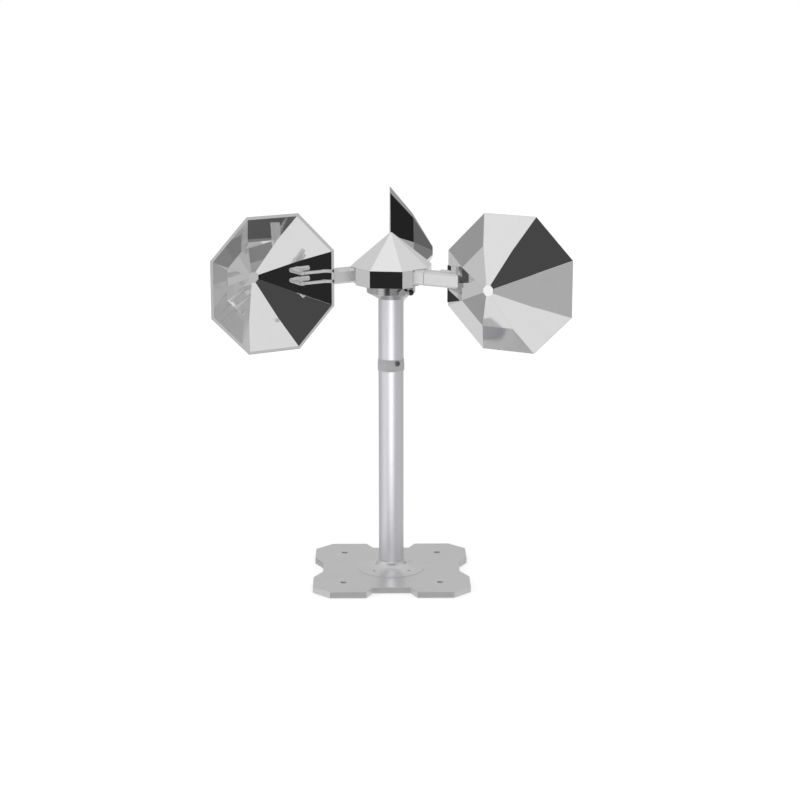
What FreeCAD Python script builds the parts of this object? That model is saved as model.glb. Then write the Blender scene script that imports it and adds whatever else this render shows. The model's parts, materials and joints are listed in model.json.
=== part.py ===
import FreeCAD, Part
import math
import os

import Sketcher
from FreeCAD import Placement, Rotation, Vector

# Wind-driven bird scarer: a rotor of three mirror-faceted octagonal cups under a mirrored pyramid cap,
# turning on two ball bearings at the top of a two-piece pole on a notched base plate.
#
# Row frame: origin at the middle of the base plate's underside, +Z up along the pole.
# Lengths are millimetres and angles are degrees.

DRIVING_SIZES = {
    # base plate
    "plate_side": 156.0,
    "plate_thick": 6.5,
    "plate_corner_cut": 17.0,
    "side_notch_mouth": 62.0,
    "side_notch_floor": 28.0,
    "side_notch_depth": 9.0,
    "end_notch_mouth": 50.0,
    "end_notch_floor": 37.0,
    "end_notch_depth": 14.0,
    "plate_hole_pitch": 96.0,
    "plate_hole_bore": 6.0,
    # base socket
    "socket_foot_radius": 34.0,
    "socket_edge": 0.5,
    "socket_high": 9.0,
    "socket_top_radius": 14.4,
    "socket_floor": 2.0,
    "socket_screw_circle": 24.0,
    # pole
    "pole_outer": 25.0,
    "pole_inner": 22.0,
    "pole_joint_level": 214.4,
    "pole_top_level": 294.8,
    "slip_gap": 0.02,
    "sleeve_radius": 13.3,
    "sleeve_over_joint": 9.4,
    "sleeve_under_joint": 2.6,
    "sleeve_lip_high": 5.0,
    "joiner_long": 60.0,
    "plug_long": 22.0,
    "joint_screw_turn": -62.0,
    "joint_screw_inset": 3.6,
    # pole cap and lock lever
    "cap_top_level": 298.3,
    "cap_flank_level": 290.3,
    "cap_foot_level": 284.0,
    "cap_radius": 24.0,
    "cap_foot_radius": 13.1,
    "cap_spigot_long": 21.0,
    "lever_turn": -68.0,
    "lever_level": 293.0,
    "lever_long": 10.0,
    # spindle and bearings
    "spindle_radius": 4.0,
    "spindle_flange_radius": 6.2,
    "spindle_flange_high": 3.0,
    "bearing_radius": 11.0,
    "bearing_wide": 7.0,
    "bearing_gap": 10.0,
    "ball_radius": 1.984,
    "ball_pitch_radius": 7.5,
    "ball_count": 7.0,
    "inner_land": 6.1,
    "outer_land": 8.9,
    # rotor
    "rotor_level": 309.3,
    "rotor_turn": 0.0,
    "arm_high": 14.0,
    "arm_near": 2.0,
    "arm_far": 17.0,
    "socket_end": 45.2,
    "seam": 0.8,
    "tongue_wall": 2.5,
    "tine_thick": 4.0,
    "tine_high": 2.2,
    "tine_spread": 5.0,
    "tine_rise": 1.9,
    "tine_reach": 96.0,
    "tine_eye": 1.9,
    # hub cap
    "hub_radius": 41.5,
    "hub_eaves": 7.2,
    "hub_peak": 39.6,
    "hub_peak_radius": 1.0,
    "hub_skirt_low": -9.6,
    "hub_wall": 1.8,
    "hub_corner_turn": 15.0,
    # cups
    "cup_reach": 129.0,
    "cup_radius": 71.0,
    "cup_step_radius": 41.2,
    "cup_step_depth": 24.2,
    "cup_tip_radius": 5.5,
    "cup_tip_depth": 44.8,
    "cup_rise": 2.4,
    "pad_thick": 1.0,
}

# Gaps left between separate pieces.
TOUCH_GAP = 0.02          # between faces that touch
SEAT_GAP = 0.05           # between a piece and its seat
BORE_GAP = 0.03           # radial, between the spindle and what is clamped on it
SCREW_GAP = 0.05          # radial, round a screw


class Size:
    """A length or angle, with the sheet expression that gives it."""

    def __init__(self, value, text):
        self.value = value
        self.text = text

    def __add__(self, other):
        other = as_size(other)
        return Size(self.value + other.value, f"({self.text} + {other.text})")

    def __sub__(self, other):
        other = as_size(other)
        return Size(self.value - other.value, f"({self.text} - {other.text})")

    def __mul__(self, other):
        other = as_size(other)
        return Size(self.value * other.value, f"({self.text} * {other.text})")

    def __truediv__(self, other):
        other = as_size(other)
        return Size(self.value / other.value, f"({self.text} / {other.text})")

    def __neg__(self):
        return Size(-self.value, f"(-1 * {self.text})")


def as_size(number):
    """Take a plain number as a Size."""
    if isinstance(number, Size):
        return number
    return Size(float(number), f"({number})")


def cosine(angle):
    """Cosine of an angle in degrees."""
    angle = as_size(angle)
    return Size(math.cos(math.radians(angle.value)), f"cos({angle.text})")


def sine(angle):
    """Sine of an angle in degrees."""
    angle = as_size(angle)
    return Size(math.sin(math.radians(angle.value)), f"sin({angle.text})")


def write_sheet(doc):
    """Put the driving sizes in the spreadsheet and hand them back as Sizes."""
    sheet = doc.addObject("Spreadsheet::Sheet", "dims")
    sizes = {}
    for row, (alias, value) in enumerate(DRIVING_SIZES.items(), start=1):
        sheet.set(f"A{row}", alias)
        sheet.set(f"B{row}", str(value))
        sheet.setAlias(f"B{row}", alias)
        sizes[alias] = Size(value, f"dims.{alias}")
    doc.recompute()
    return sizes


doc = FreeCAD.newDocument("bird_scarer")
dims = write_sheet(doc)
parts = []


def bind(item, prop, size):
    """Set a property and tie it to the sheet."""
    size = as_size(size)
    item.setExpression(prop, size.text)


def place(item, x=0, y=0, z=0, axis=(0, 0, 1), turn=0):
    """Place an object, with its position and turn tied to the sheet."""
    x, y, z, turn = as_size(x), as_size(y), as_size(z), as_size(turn)
    item.Placement = Placement(Vector(x.value, y.value, z.value), Rotation(Vector(*axis), turn.value))
    for prop, size in (("x", x), ("y", y), ("z", z)):
        if size.value:
            bind(item, f"Placement.Base.{prop}", size)
    if turn.value:
        bind(item, "Placement.Rotation.Angle", turn)


def part(item, label):
    """Name a finished sub-part and keep it for export."""
    item.Label = label
    parts.append(item)
    return item


# ---------------------------------------------------------------- sketches and features


def new_body():
    return doc.addObject("PartDesign::Body", "Body")


def new_sketch(body, plane, height):
    """A sketch on one of the body's origin planes, moved along the plane's normal."""
    sketch = body.newObject("Sketcher::SketchObject", "Sketch")
    base = [feature for feature in body.Origin.OriginFeatures if feature.Role == plane][0]
    sketch.AttachmentSupport = [(base, "")]
    sketch.MapMode = "FlatFace"
    height = as_size(height)
    if height.value:
        sketch.AttachmentOffset = Placement(Vector(0, 0, height.value), Rotation())
        bind(sketch, "AttachmentOffset.Base.z", height)
    return sketch


def pin_point(sketch, shape, point, x, y):
    """Hold a sketch point at (x, y) from the sketch's origin, tied to the sheet."""
    for kind, zero_axis, size in (("DistanceX", -2, as_size(x)), ("DistanceY", -1, as_size(y))):
        if abs(size.value) < 1e-9:
            sketch.addConstraint(Sketcher.Constraint("PointOnObject", shape, point, zero_axis))
            continue
        if size.value > 0:
            ends = (-1, 1, shape, point)
        else:
            ends = (shape, point, -1, 1)
            size = -size
        index = sketch.addConstraint(Sketcher.Constraint(kind, *ends, size.value))
        bind(sketch, f"Constraints[{index}]", size)


def polygon(body, plane, corners, height=0):
    """A closed polygon sketch whose corners are Sizes."""
    sketch = new_sketch(body, plane, height)
    points = []
    for x, y in corners:
        points.append(Vector(as_size(x).value, as_size(y).value, 0))
    count = len(points)
    for index in range(count):
        sketch.addGeometry(Part.LineSegment(points[index], points[(index + 1) % count]), False)
    for index in range(count):
        sketch.addConstraint(Sketcher.Constraint("Coincident", index, 2, (index + 1) % count, 1))
    for index, (x, y) in enumerate(corners):
        pin_point(sketch, index, 1, x, y)
    return sketch


def circles(body, plane, discs, height=0):
    """A sketch of circles, each given as (x, y, radius)."""
    sketch = new_sketch(body, plane, height)
    for index, (x, y, radius) in enumerate(discs):
        centre = Vector(as_size(x).value, as_size(y).value, 0)
        sketch.addGeometry(Part.Circle(centre, Vector(0, 0, 1), as_size(radius).value), False)
        pin_point(sketch, index, 3, x, y)
        constraint = sketch.addConstraint(Sketcher.Constraint("Radius", index, as_size(radius).value))
        bind(sketch, f"Constraints[{constraint}]", radius)
    return sketch


def rectangle(x_low, x_high, y_low, y_high):
    return [(x_low, y_low), (x_high, y_low), (x_high, y_high), (x_low, y_high)]


def octagon(radius, turn):
    """Corners of a regular octagon whose first corner is at an angle of turn."""
    corners = []
    for index in range(8):
        angle = as_size(turn) + 45 * index
        corners.append((as_size(radius) * cosine(angle), as_size(radius) * sine(angle)))
    return corners


def pad(body, sketch, length, down=False, both_ways=False):
    feature = body.newObject("PartDesign::Pad", "Pad")
    feature.Profile = sketch
    bind(feature, "Length", length)
    feature.Reversed = down
    if both_ways:
        feature.SideType = "Symmetric"
    return feature


def pocket(body, sketch, length, up=False, both_ways=False):
    """Cut along a sketch's normal: downwards, or upwards if up is set."""
    feature = body.newObject("PartDesign::Pocket", "Pocket")
    feature.Profile = sketch
    bind(feature, "Length", length)
    feature.Reversed = up
    if both_ways:
        feature.SideType = "Symmetric"
    return feature


def turned(profile):
    """A body turned about its own Z axis from a (radius, height) profile."""
    body = new_body()
    sketch = polygon(body, "XZ_Plane", profile)
    feature = body.newObject("PartDesign::Revolution", "Revolution")
    feature.Profile = sketch
    feature.ReferenceAxis = (sketch, ["V_Axis"])
    feature.Angle = 360
    return body


def tube_profile(inner, outer, low, high):
    return rectangle(inner, outer, low, high)


def cylinder(radius, height, x=0, y=0, z=0, axis=(0, 0, 1), turn=0):
    item = doc.addObject("Part::Cylinder", "Cylinder")
    bind(item, "Radius", radius)
    bind(item, "Height", height)
    place(item, x, y, z, axis, turn)
    return item


def block(x_low, x_high, y_low, y_high, z_low, z_high):
    """A box between two corners, each given as a Size."""
    x_low, y_low, z_low = as_size(x_low), as_size(y_low), as_size(z_low)
    item = doc.addObject("Part::Box", "Box")
    bind(item, "Length", as_size(x_high) - x_low)
    bind(item, "Width", as_size(y_high) - y_low)
    bind(item, "Height", as_size(z_high) - z_low)
    place(item, x_low, y_low, z_low)
    return item


def fuse(items):
    item = doc.addObject("Part::MultiFuse", "Fusion")
    item.Shapes = items
    item.Refine = True
    return item


def common(items):
    item = doc.addObject("Part::MultiCommon", "Common")
    item.Shapes = items
    return item


def cut(base, tools):
    """Base with each tool taken away."""
    for tool in tools:
        item = doc.addObject("Part::Cut", "Cut")
        item.Base = base
        item.Tool = tool
        base = item
    return base


def group(items, label):
    """Identical loose solids kept in one node."""
    item = doc.addObject("Part::Compound", "Compound")
    item.Links = items
    return part(item, label)


# ---------------------------------------------------------------- fasteners

# Shares of a screw's head radius or head height.
FLUSH_CROSS = 0.55
FLUSH_CROSS_DEEP = 0.3
PAN_CROSS = 0.6
PAN_CROSS_DEEP = 0.45
PAN_ROUNDING = 0.4
CROSS_ARM = 0.22


def flush_screw(shank, long, head):
    """Countersunk screw: its flat head faces down at z = 0 and its shank points up."""
    depth = as_size(head) - shank
    profile = [(0, 0), (head, 0), (shank, depth), (shank, long), (0, long)]
    screw = turned(profile)
    recess = polygon(screw, "XY_Plane", cross(as_size(head) * FLUSH_CROSS))
    pocket(screw, recess, as_size(head) * FLUSH_CROSS_DEEP, up=True)
    return screw


def pan_screw(shank, long, head, head_high):
    """Pan head screw: the head's underside is at z = 0, its shank points up and its head hangs below."""
    rim = as_size(head) - as_size(head_high) * PAN_ROUNDING
    waist = -as_size(head_high) * 0.5
    profile = [(0, -as_size(head_high)), (rim, -as_size(head_high)), (head, waist), (head, 0),
               (shank, 0), (shank, long), (0, long)]
    screw = turned(profile)
    recess = polygon(screw, "XY_Plane", cross(as_size(head) * PAN_CROSS), -as_size(head_high))
    pocket(screw, recess, as_size(head_high) * PAN_CROSS_DEEP, up=True)
    return screw


def cross(reach):
    """Outline of a cross recess."""
    half = as_size(reach) * CROSS_ARM
    reach = as_size(reach)
    return [(reach, -half), (reach, half), (half, half), (half, reach), (-half, reach), (-half, half),
            (-reach, half), (-reach, -half), (-half, -half), (-half, -reach), (half, -reach), (half, -half)]


def hexagon(across_flats):
    corners = []
    radius = as_size(across_flats) / 2 / cosine(30)
    for index in range(6):
        angle = 60 * index
        corners.append((radius * cosine(angle), radius * sine(angle)))
    return corners


# ---------------------------------------------------------------- base

PLATE_BOLT = 3.0          # radius of the central bolt
PLATE_BOLT_HEAD = 6.0
SOCKET_SCREW = 2.0
SOCKET_SCREW_HEAD = 4.0
SOCKET_SCREW_BITE = 1.6   # how far the screw reaches into the socket
TIP_ROOM = 0.2            # from the tip of a screw to the end of its hole
BOLT_IN_PLUG = 0.7        # share of the plug's length that the central bolt fills
FLARE_STEPS = 8           # straight steps along the socket's curved flank


def base_plate():
    """Steel plate with chamfered corners, a notch in each edge and countersunk holes from below."""
    half = dims["plate_side"] / 2
    inset = half - dims["plate_corner_cut"]
    quarter = []
    side_floor = half - dims["side_notch_depth"]
    end_floor = half - dims["end_notch_depth"]
    quarter.append((side_floor, dims["side_notch_floor"] / 2))
    quarter.append((half, dims["side_notch_mouth"] / 2))
    quarter.append((half, inset))
    quarter.append((inset, half))
    quarter.append((dims["end_notch_mouth"] / 2, half))
    quarter.append((dims["end_notch_floor"] / 2, end_floor))
    corners = list(quarter)
    corners += [(-x, y) for x, y in reversed(quarter)]
    corners += [(-x, -y) for x, y in quarter]
    corners += [(x, -y) for x, y in reversed(quarter)]
    body = new_body()
    pad(body, polygon(body, "XY_Plane", corners), dims["plate_thick"])
    reach = dims["plate_hole_pitch"] / 2
    bore = dims["plate_hole_bore"] / 2
    holes = [(reach * x, reach * y, bore) for x in (-1, 1) for y in (-1, 1)]
    holes.append((0, 0, PLATE_BOLT + SCREW_GAP))
    for x, y in socket_screw_spots():
        holes.append((x, y, SOCKET_SCREW + SCREW_GAP))
    pocket(body, circles(body, "XY_Plane", holes), dims["plate_thick"], up=True)
    sinks = [countersink(PLATE_BOLT, PLATE_BOLT_HEAD, 0, 0)]
    for x, y in socket_screw_spots():
        sinks.append(countersink(SOCKET_SCREW, SOCKET_SCREW_HEAD, x, y))
    part(cut(body, sinks), "base_plate")


def countersink(shank, head, x, y):
    """Cone that sinks a flush screw's head into the plate's underside."""
    item = doc.addObject("Part::Cone", "Cone")
    bind(item, "Radius1", head + SCREW_GAP)
    bind(item, "Radius2", shank + SCREW_GAP)
    bind(item, "Height", head - shank)
    place(item, x, y, 0)
    return item


def socket_screw_spots():
    """The four screws that hold the socket on the plate, on the diagonals."""
    reach = dims["socket_screw_circle"] * cosine(45)
    return [(reach * x, reach * y) for x in (-1, 1) for y in (-1, 1)]


def base_socket():
    """Low flared socket that takes the pole's foot, screwed to the plate from below."""
    high = dims["socket_high"]
    foot = dims["socket_foot_radius"]
    bore = dims["pole_outer"] / 2 + dims["slip_gap"]
    floor = dims["socket_floor"]
    middle = PLATE_BOLT + SCREW_GAP
    profile = [(middle, 0), (foot, 0)]
    for step in range(FLARE_STEPS + 1):
        angle = 90 * step / FLARE_STEPS
        profile.append((foot - (foot - dims["socket_top_radius"]) * sine(angle),
                        high - (high - dims["socket_edge"]) * cosine(angle)))
    profile += [(bore, high), (bore, floor), (middle, floor)]
    holes = []
    for x, y in socket_screw_spots():
        holes.append(cylinder(SOCKET_SCREW + SCREW_GAP, SOCKET_SCREW_BITE + TIP_ROOM, x, y, 0))
    socket = cut(turned(profile), holes)
    place(socket, z=dims["plate_thick"])
    part(socket, "base_socket")


def base_fasteners():
    """Central bolt into the pole's plug, and four screws into the socket's foot."""
    long = dims["plate_thick"] + dims["socket_floor"] + dims["plug_long"] * BOLT_IN_PLUG
    part(flush_screw(PLATE_BOLT, long, PLATE_BOLT_HEAD), "central_bolt")
    screws = []
    for x, y in socket_screw_spots():
        screw = flush_screw(SOCKET_SCREW, dims["plate_thick"] + SOCKET_SCREW_BITE, SOCKET_SCREW_HEAD)
        place(screw, x, y, 0)
        screws.append(screw)
    group(screws, "socket_screws")


# ---------------------------------------------------------------- pole


def pole():
    """Two tubes, the plug at their foot, and the joiner and sleeve where they meet."""
    inner = dims["pole_inner"] / 2
    outer = dims["pole_outer"] / 2
    foot = dims["plate_thick"] + dims["socket_floor"]
    joint = dims["pole_joint_level"]
    fit = inner - dims["slip_gap"]
    drill = joint_screw_hole()
    plug = turned(tube_profile(PLATE_BOLT + SCREW_GAP, fit, 0, dims["plug_long"]))
    place(plug, z=foot)
    part(plug, "base_plug")
    lower = turned(tube_profile(inner, outer, foot, joint - TUBE_GAP))
    part(cut(lower, [drill]), "lower_tube")
    upper = turned(tube_profile(inner, outer, joint + TUBE_GAP, dims["pole_top_level"]))
    part(cut(upper, [drill]), "upper_tube")
    half = dims["joiner_long"] / 2
    joiner = turned(tube_profile(inner - JOINER_WALL, fit, joint - half, joint + half))
    part(cut(joiner, [drill]), "pole_joiner")
    bore = outer + dims["slip_gap"]
    rim = dims["sleeve_radius"]
    low = joint - dims["sleeve_under_joint"]
    high = sleeve_top()
    edge = bore + SLEEVE_EDGE
    profile = [(bore, low), (rim, low), (rim, high - dims["sleeve_lip_high"]), (edge, high), (bore, high)]
    sleeve = turned(profile)
    part(cut(sleeve, [drill]), "pole_sleeve")


JOINT_SCREW = 2.0
JOINT_SCREW_LONG = 5.5
JOINT_SCREW_HEAD = 2.6
JOINT_SCREW_HEAD_HIGH = 1.2
JOINER_WALL = 3.0
TUBE_GAP = 0.1            # each tube stops this far short of the line where they meet
SLEEVE_EDGE = 0.2         # width of the sleeve's flat top edge


def sleeve_top():
    return dims["pole_joint_level"] + dims["sleeve_over_joint"]


def joint_screw_level():
    return sleeve_top() - dims["joint_screw_inset"]


def lay_radially(item, reach, turn, level, inwards=False):
    """Lay an object's Z axis along a horizontal radius, with its origin at a reach from the pole's axis."""
    azimuth = math.radians(turn.value)
    centre = Vector(reach.value * math.cos(azimuth), reach.value * math.sin(azimuth), level.value)
    facing = turn.value + (180 if inwards else 0)
    rotation = Rotation(Vector(0, 0, 1), facing).multiply(Rotation(Vector(0, 1, 0), 90))
    item.Placement = Placement(centre, rotation)
    bind(item, "Placement.Base.x", reach * cosine(turn))
    bind(item, "Placement.Base.y", reach * sine(turn))
    bind(item, "Placement.Base.z", level)


def joint_screw_hole():
    """Radial drilling for the joint screw, through sleeve, upper tube and joiner."""
    drill = doc.addObject("Part::Cylinder", "Drill")
    bind(drill, "Radius", JOINT_SCREW + SCREW_GAP)
    bind(drill, "Height", dims["pole_outer"])
    lay_radially(drill, as_size(0), dims["joint_screw_turn"], joint_screw_level())
    return drill


def joint_screw():
    """Pan head screw whose head stands on the sleeve."""
    screw = pan_screw(JOINT_SCREW, JOINT_SCREW_LONG, JOINT_SCREW_HEAD, JOINT_SCREW_HEAD_HIGH)
    seat = dims["sleeve_radius"] + TOUCH_GAP
    lay_radially(screw, seat, dims["joint_screw_turn"], joint_screw_level(), inwards=True)
    part(screw, "joint_screw")


# ---------------------------------------------------------------- pole cap and lock lever

CAP_GAP = 0.1             # between the tube's end and the cap's shoulder
CAP_CHAMFER = 0.8
NUT_ROOM = 8.0            # radius of the recess for the spindle's nut
NUT_ROOM_HIGH = 8.0
FLANK_GAP = 0.15          # between the collar's flank and the lever's boss
LEVER_STUD = 2.5
LEVER_BOSS = 3.4
LEVER_BOSS_LONG = 4.4
LEVER_ROOT = 2.3          # radius of the lever where it leaves the boss
LEVER_TIP = 1.5
LEVER_KNOB = 3.0
LEVER_LINE = 2.4          # from the collar's flank to the lever's centre line


def pole_cap():
    """Round cap on the pole's top: a spigot in the tube, a collar round it and a seat for the spindle."""
    bore = dims["pole_outer"] / 2 + dims["slip_gap"]
    spigot = dims["pole_inner"] / 2 - dims["slip_gap"]
    seat = dims["pole_top_level"] + CAP_GAP
    top = dims["cap_top_level"]
    foot = seat - dims["cap_spigot_long"]
    hole = dims["spindle_radius"] + BORE_GAP
    nut_room = as_size(NUT_ROOM)
    rim = dims["cap_radius"]
    collar_foot = dims["cap_foot_level"]
    room_top = foot + NUT_ROOM_HIGH
    profile = [(hole, top), (rim - CAP_CHAMFER, top), (rim, top - CAP_CHAMFER),
               (rim, dims["cap_flank_level"]), (dims["cap_foot_radius"], collar_foot), (bore, collar_foot),
               (bore, seat), (spigot, seat), (spigot, foot), (nut_room, foot), (nut_room, room_top),
               (hole, room_top)]
    cap = turned(profile)
    stud_hole = doc.addObject("Part::Cylinder", "StudHole")
    bind(stud_hole, "Radius", LEVER_STUD + SCREW_GAP)
    bind(stud_hole, "Height", dims["cap_radius"])
    lay_radially(stud_hole, dims["pole_outer"] / 2 - 1, dims["lever_turn"], dims["lever_level"])
    tube = cylinder(dims["pole_outer"] / 2 + dims["slip_gap"] / 2, dims["cap_spigot_long"] * 2,
                    z=seat - dims["cap_spigot_long"] * 2)
    part(cut(cap, [cut(stud_hole, [tube])]), "pole_cap")


def lock_lever():
    """Lever screw that locks the cap on the pole; it lies along the collar when it is tight.

    Its own frame: X points outwards along the stud, Y along the lever, Z up.
    """
    stud_start = dims["pole_outer"] / 2 + SEAT_GAP
    flank = dims["cap_radius"] + FLANK_GAP
    stud = cylinder(LEVER_STUD, flank - stud_start + 1, stud_start, 0, 0, (0, 1, 0), 90)
    boss = cylinder(LEVER_BOSS, LEVER_BOSS_LONG, flank, 0, 0, (0, 1, 0), 90)
    bar = doc.addObject("Part::Cone", "Bar")
    bind(bar, "Radius1", LEVER_ROOT)
    bind(bar, "Radius2", LEVER_TIP)
    bind(bar, "Height", dims["lever_long"])
    place(bar, flank + LEVER_LINE, 0, 0, (1, 0, 0), -90)
    lever = fuse([stud, boss, bar])
    place(lever, z=dims["lever_level"], turn=dims["lever_turn"])
    part(lever, "lock_lever")
    knob = doc.addObject("Part::Sphere", "Knob")
    bind(knob, "Radius", LEVER_KNOB)
    place(knob, flank + LEVER_LINE, dims["lever_long"], 0)
    knob = cut(knob, [bar])
    place(knob, z=dims["lever_level"], turn=dims["lever_turn"])
    part(knob, "lock_knob")


# ---------------------------------------------------------------- spindle and bearings

NUT_HIGH = 6.5
NUT_FLATS = 13.0
WASHER_RADIUS = 7.2
WASHER_HIGH = 1.2
THREAD_END = 1.7          # how far the spindle stands out of its top nut
SPINDLE_INSET = 0.5       # from the spigot's end up to the spindle's end
SHAFT_CHAMFER = 0.7
SHIELD_THICK = 0.56
SHIELD_STEP = 0.6         # depth of the step in the outer race that takes a shield
SHIELD_STEP_WIDE = 0.55
SHIELD_BORE_GAP = 0.2     # between a shield's bore and the inner race
RACE_ROOM = 0.05          # between a ball and its raceway
POCKET_ROOM = 0.06        # between a ball and its pocket in the cage
CAGE_HALF = 0.8           # half of the cage's wall
CAGE_BELOW = 2.75         # from the balls' centres down to the cage's closed side
CAGE_ABOVE = 0.9


def lower_bearing_level():
    return dims["cap_top_level"] + dims["spindle_flange_high"]


def upper_bearing_level():
    return lower_bearing_level() + dims["bearing_wide"] + dims["bearing_gap"]


def spindle_stack():
    """Fixed spindle with its flange on the cap, and what is clamped on it between the nuts."""
    shaft = dims["spindle_radius"]
    cap_top = dims["cap_top_level"]
    foot = dims["pole_top_level"] + CAP_GAP - dims["cap_spigot_long"]
    start = foot + SPINDLE_INSET
    race_top = upper_bearing_level() + dims["bearing_wide"]
    top = race_top + WASHER_HIGH + NUT_HIGH + THREAD_END
    profile = [(0, start), (shaft, start), (shaft, cap_top), (dims["spindle_flange_radius"], cap_top),
               (dims["spindle_flange_radius"], lower_bearing_level()), (shaft, lower_bearing_level()),
               (shaft, top - SHAFT_CHAMFER), (shaft - SHAFT_CHAMFER, top), (0, top)]
    part(turned(profile), "spindle")
    part(nut(foot + NUT_ROOM_HIGH - NUT_HIGH - SEAT_GAP), "spindle_nut")
    bore = shaft + BORE_GAP
    spacer = turned(tube_profile(bore, dims["inner_land"], 0, dims["bearing_gap"]))
    place(spacer, z=lower_bearing_level() + dims["bearing_wide"])
    part(spacer, "bearing_spacer")
    washer = turned(tube_profile(bore, WASHER_RADIUS, 0, WASHER_HIGH))
    place(washer, z=race_top)
    part(washer, "spindle_washer")
    part(nut(race_top + WASHER_HIGH + SEAT_GAP), "spindle_locknut")


def nut(level):
    """Hexagon nut for the spindle's thread."""
    body = new_body()
    pad(body, polygon(body, "XY_Plane", hexagon(NUT_FLATS)), NUT_HIGH)
    pocket(body, circles(body, "XY_Plane", [(0, 0, dims["spindle_radius"] + BORE_GAP)]), NUT_HIGH, up=True)
    place(body, z=level)
    return body


def bearing(prefix, level):
    """Ball bearing with its bottom at z = 0: two races, balls, a crown cage and two shields."""
    middle = dims["bearing_wide"] / 2
    wide = dims["bearing_wide"]
    bore = dims["spindle_radius"] + TOUCH_GAP
    outer = dims["bearing_radius"] - TOUCH_GAP
    step = as_size(SHIELD_STEP)
    groove = doc.addObject("Part::Torus", "Raceway")
    bind(groove, "Radius1", dims["ball_pitch_radius"])
    bind(groove, "Radius2", dims["ball_radius"] + RACE_ROOM)
    place(groove, z=middle)
    inner_race = cut(turned(tube_profile(bore, dims["inner_land"], 0, wide)), [groove])
    lip = dims["outer_land"] + SHIELD_STEP_WIDE
    profile = [(lip, 0), (outer, 0), (outer, wide), (lip, wide), (lip, wide - step),
               (dims["outer_land"], wide - step), (dims["outer_land"], step), (lip, step)]
    outer_race = cut(turned(profile), [groove])
    pitch = dims["ball_pitch_radius"]
    share = as_size(360) / dims["ball_count"]
    balls = []
    pockets = []
    for index in range(int(dims["ball_count"].value)):
        angle = share * index
        for room, spheres in ((0, balls), (POCKET_ROOM, pockets)):
            sphere = doc.addObject("Part::Sphere", "Ball")
            bind(sphere, "Radius", dims["ball_radius"] + room)
            place(sphere, pitch * cosine(angle), pitch * sine(angle), middle)
            spheres.append(sphere)
    cage_ring = turned(tube_profile(pitch - CAGE_HALF, pitch + CAGE_HALF, middle - CAGE_BELOW,
                                    middle + CAGE_ABOVE))
    cage = cut(cage_ring, [fuse(pockets)])
    shields = []
    for low in (as_size(TOUCH_GAP), wide - step + TOUCH_GAP):
        shield = turned(tube_profile(dims["inner_land"] + SHIELD_BORE_GAP, lip - TOUCH_GAP, 0, SHIELD_THICK))
        place(shield, z=low)
        shields.append(shield)
    ball_group = doc.addObject("Part::Compound", "Balls")
    ball_group.Links = balls
    shield_group = doc.addObject("Part::Compound", "Shields")
    shield_group.Links = shields
    for item, name in ((inner_race, "inner_race"), (outer_race, "outer_race"), (ball_group, "balls"),
                       (cage, "cage"), (shield_group, "shields")):
        place(item, z=level)
        part(item, f"{prefix}_{name}")


# ---------------------------------------------------------------- hub

POST_RADIUS = 3.4
POST_REACH = 27.0
POST_LONG = 30.0          # long enough to run into the roof, which trims it
POST_SCREW = 1.5
POST_SCREW_LONG = 9.0
POST_SCREW_HEAD = 2.8
POST_SCREW_HEAD_HIGH = 1.6
WINDOW_ROOM = 0.3         # between an arm socket and its opening in the skirt
ROOF_THICK = 1.35         # thickness of the roof straight down, in walls
FLOOR_THICK = 2.4
FLOOR_ROOM = 0.4          # between the floor and the skirt
BAR_CHAMFER = 2.0
TONGUE_ROOM = 0.1         # round an arm's tongue in its socket
TONGUE_INSET = 5.0        # from the bearing's seat out to the tongue's inner end
ARM_SCREW = 2.0
ARM_SCREW_HEAD = 3.6
ARM_SCREW_HEAD_HIGH = 1.9
ARM_SCREW_SPOTS = (22.0, 33.0)
HOUSING_WALL = 3.6
HOUSING_FOOT = 0.4        # how far the housing reaches below the lower bearing
HOUSING_HEAD = 0.6
HOUSING_SHOULDER = 1.6    # width of the shoulder between the bearings' seats


def mid_arm_turns():
    """Azimuths half-way between the arms, where the hub cap is screwed down."""
    return [dims["rotor_turn"] + angle for angle in (30, 150, 270)]


def eaves_window(turn):
    """Opening in the hub cap's skirt for one arm socket."""
    room = as_size(WINDOW_ROOM)
    window = block(dims["hub_radius"] * 0.7, dims["hub_radius"] * 1.1, -dims["arm_far"] - room,
                   -dims["arm_near"] + room, dims["hub_skirt_low"] - 1, dims["arm_high"] / 2 + room)
    return spun(window, turn)


def spun(item, turn):
    """The item turned about Z, as a group of one."""
    holder = doc.addObject("Part::Compound", "Turned")
    holder.Links = [item]
    place(holder, turn=turn)
    return holder


def pyramid(radius, low, eaves, peak):
    """Octagonal block with a pyramid on top."""
    body = new_body()
    turn = dims["hub_corner_turn"] + dims["rotor_turn"]
    pad(body, polygon(body, "XY_Plane", octagon(radius, turn), low), as_size(eaves) - low)
    loft = body.newObject("PartDesign::AdditiveLoft", "Loft")
    loft.Profile = polygon(body, "XY_Plane", octagon(radius, turn), eaves)
    loft.Sections = [polygon(body, "XY_Plane", octagon(dims["hub_peak_radius"], turn), peak)]
    loft.Ruled = True
    return body


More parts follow.
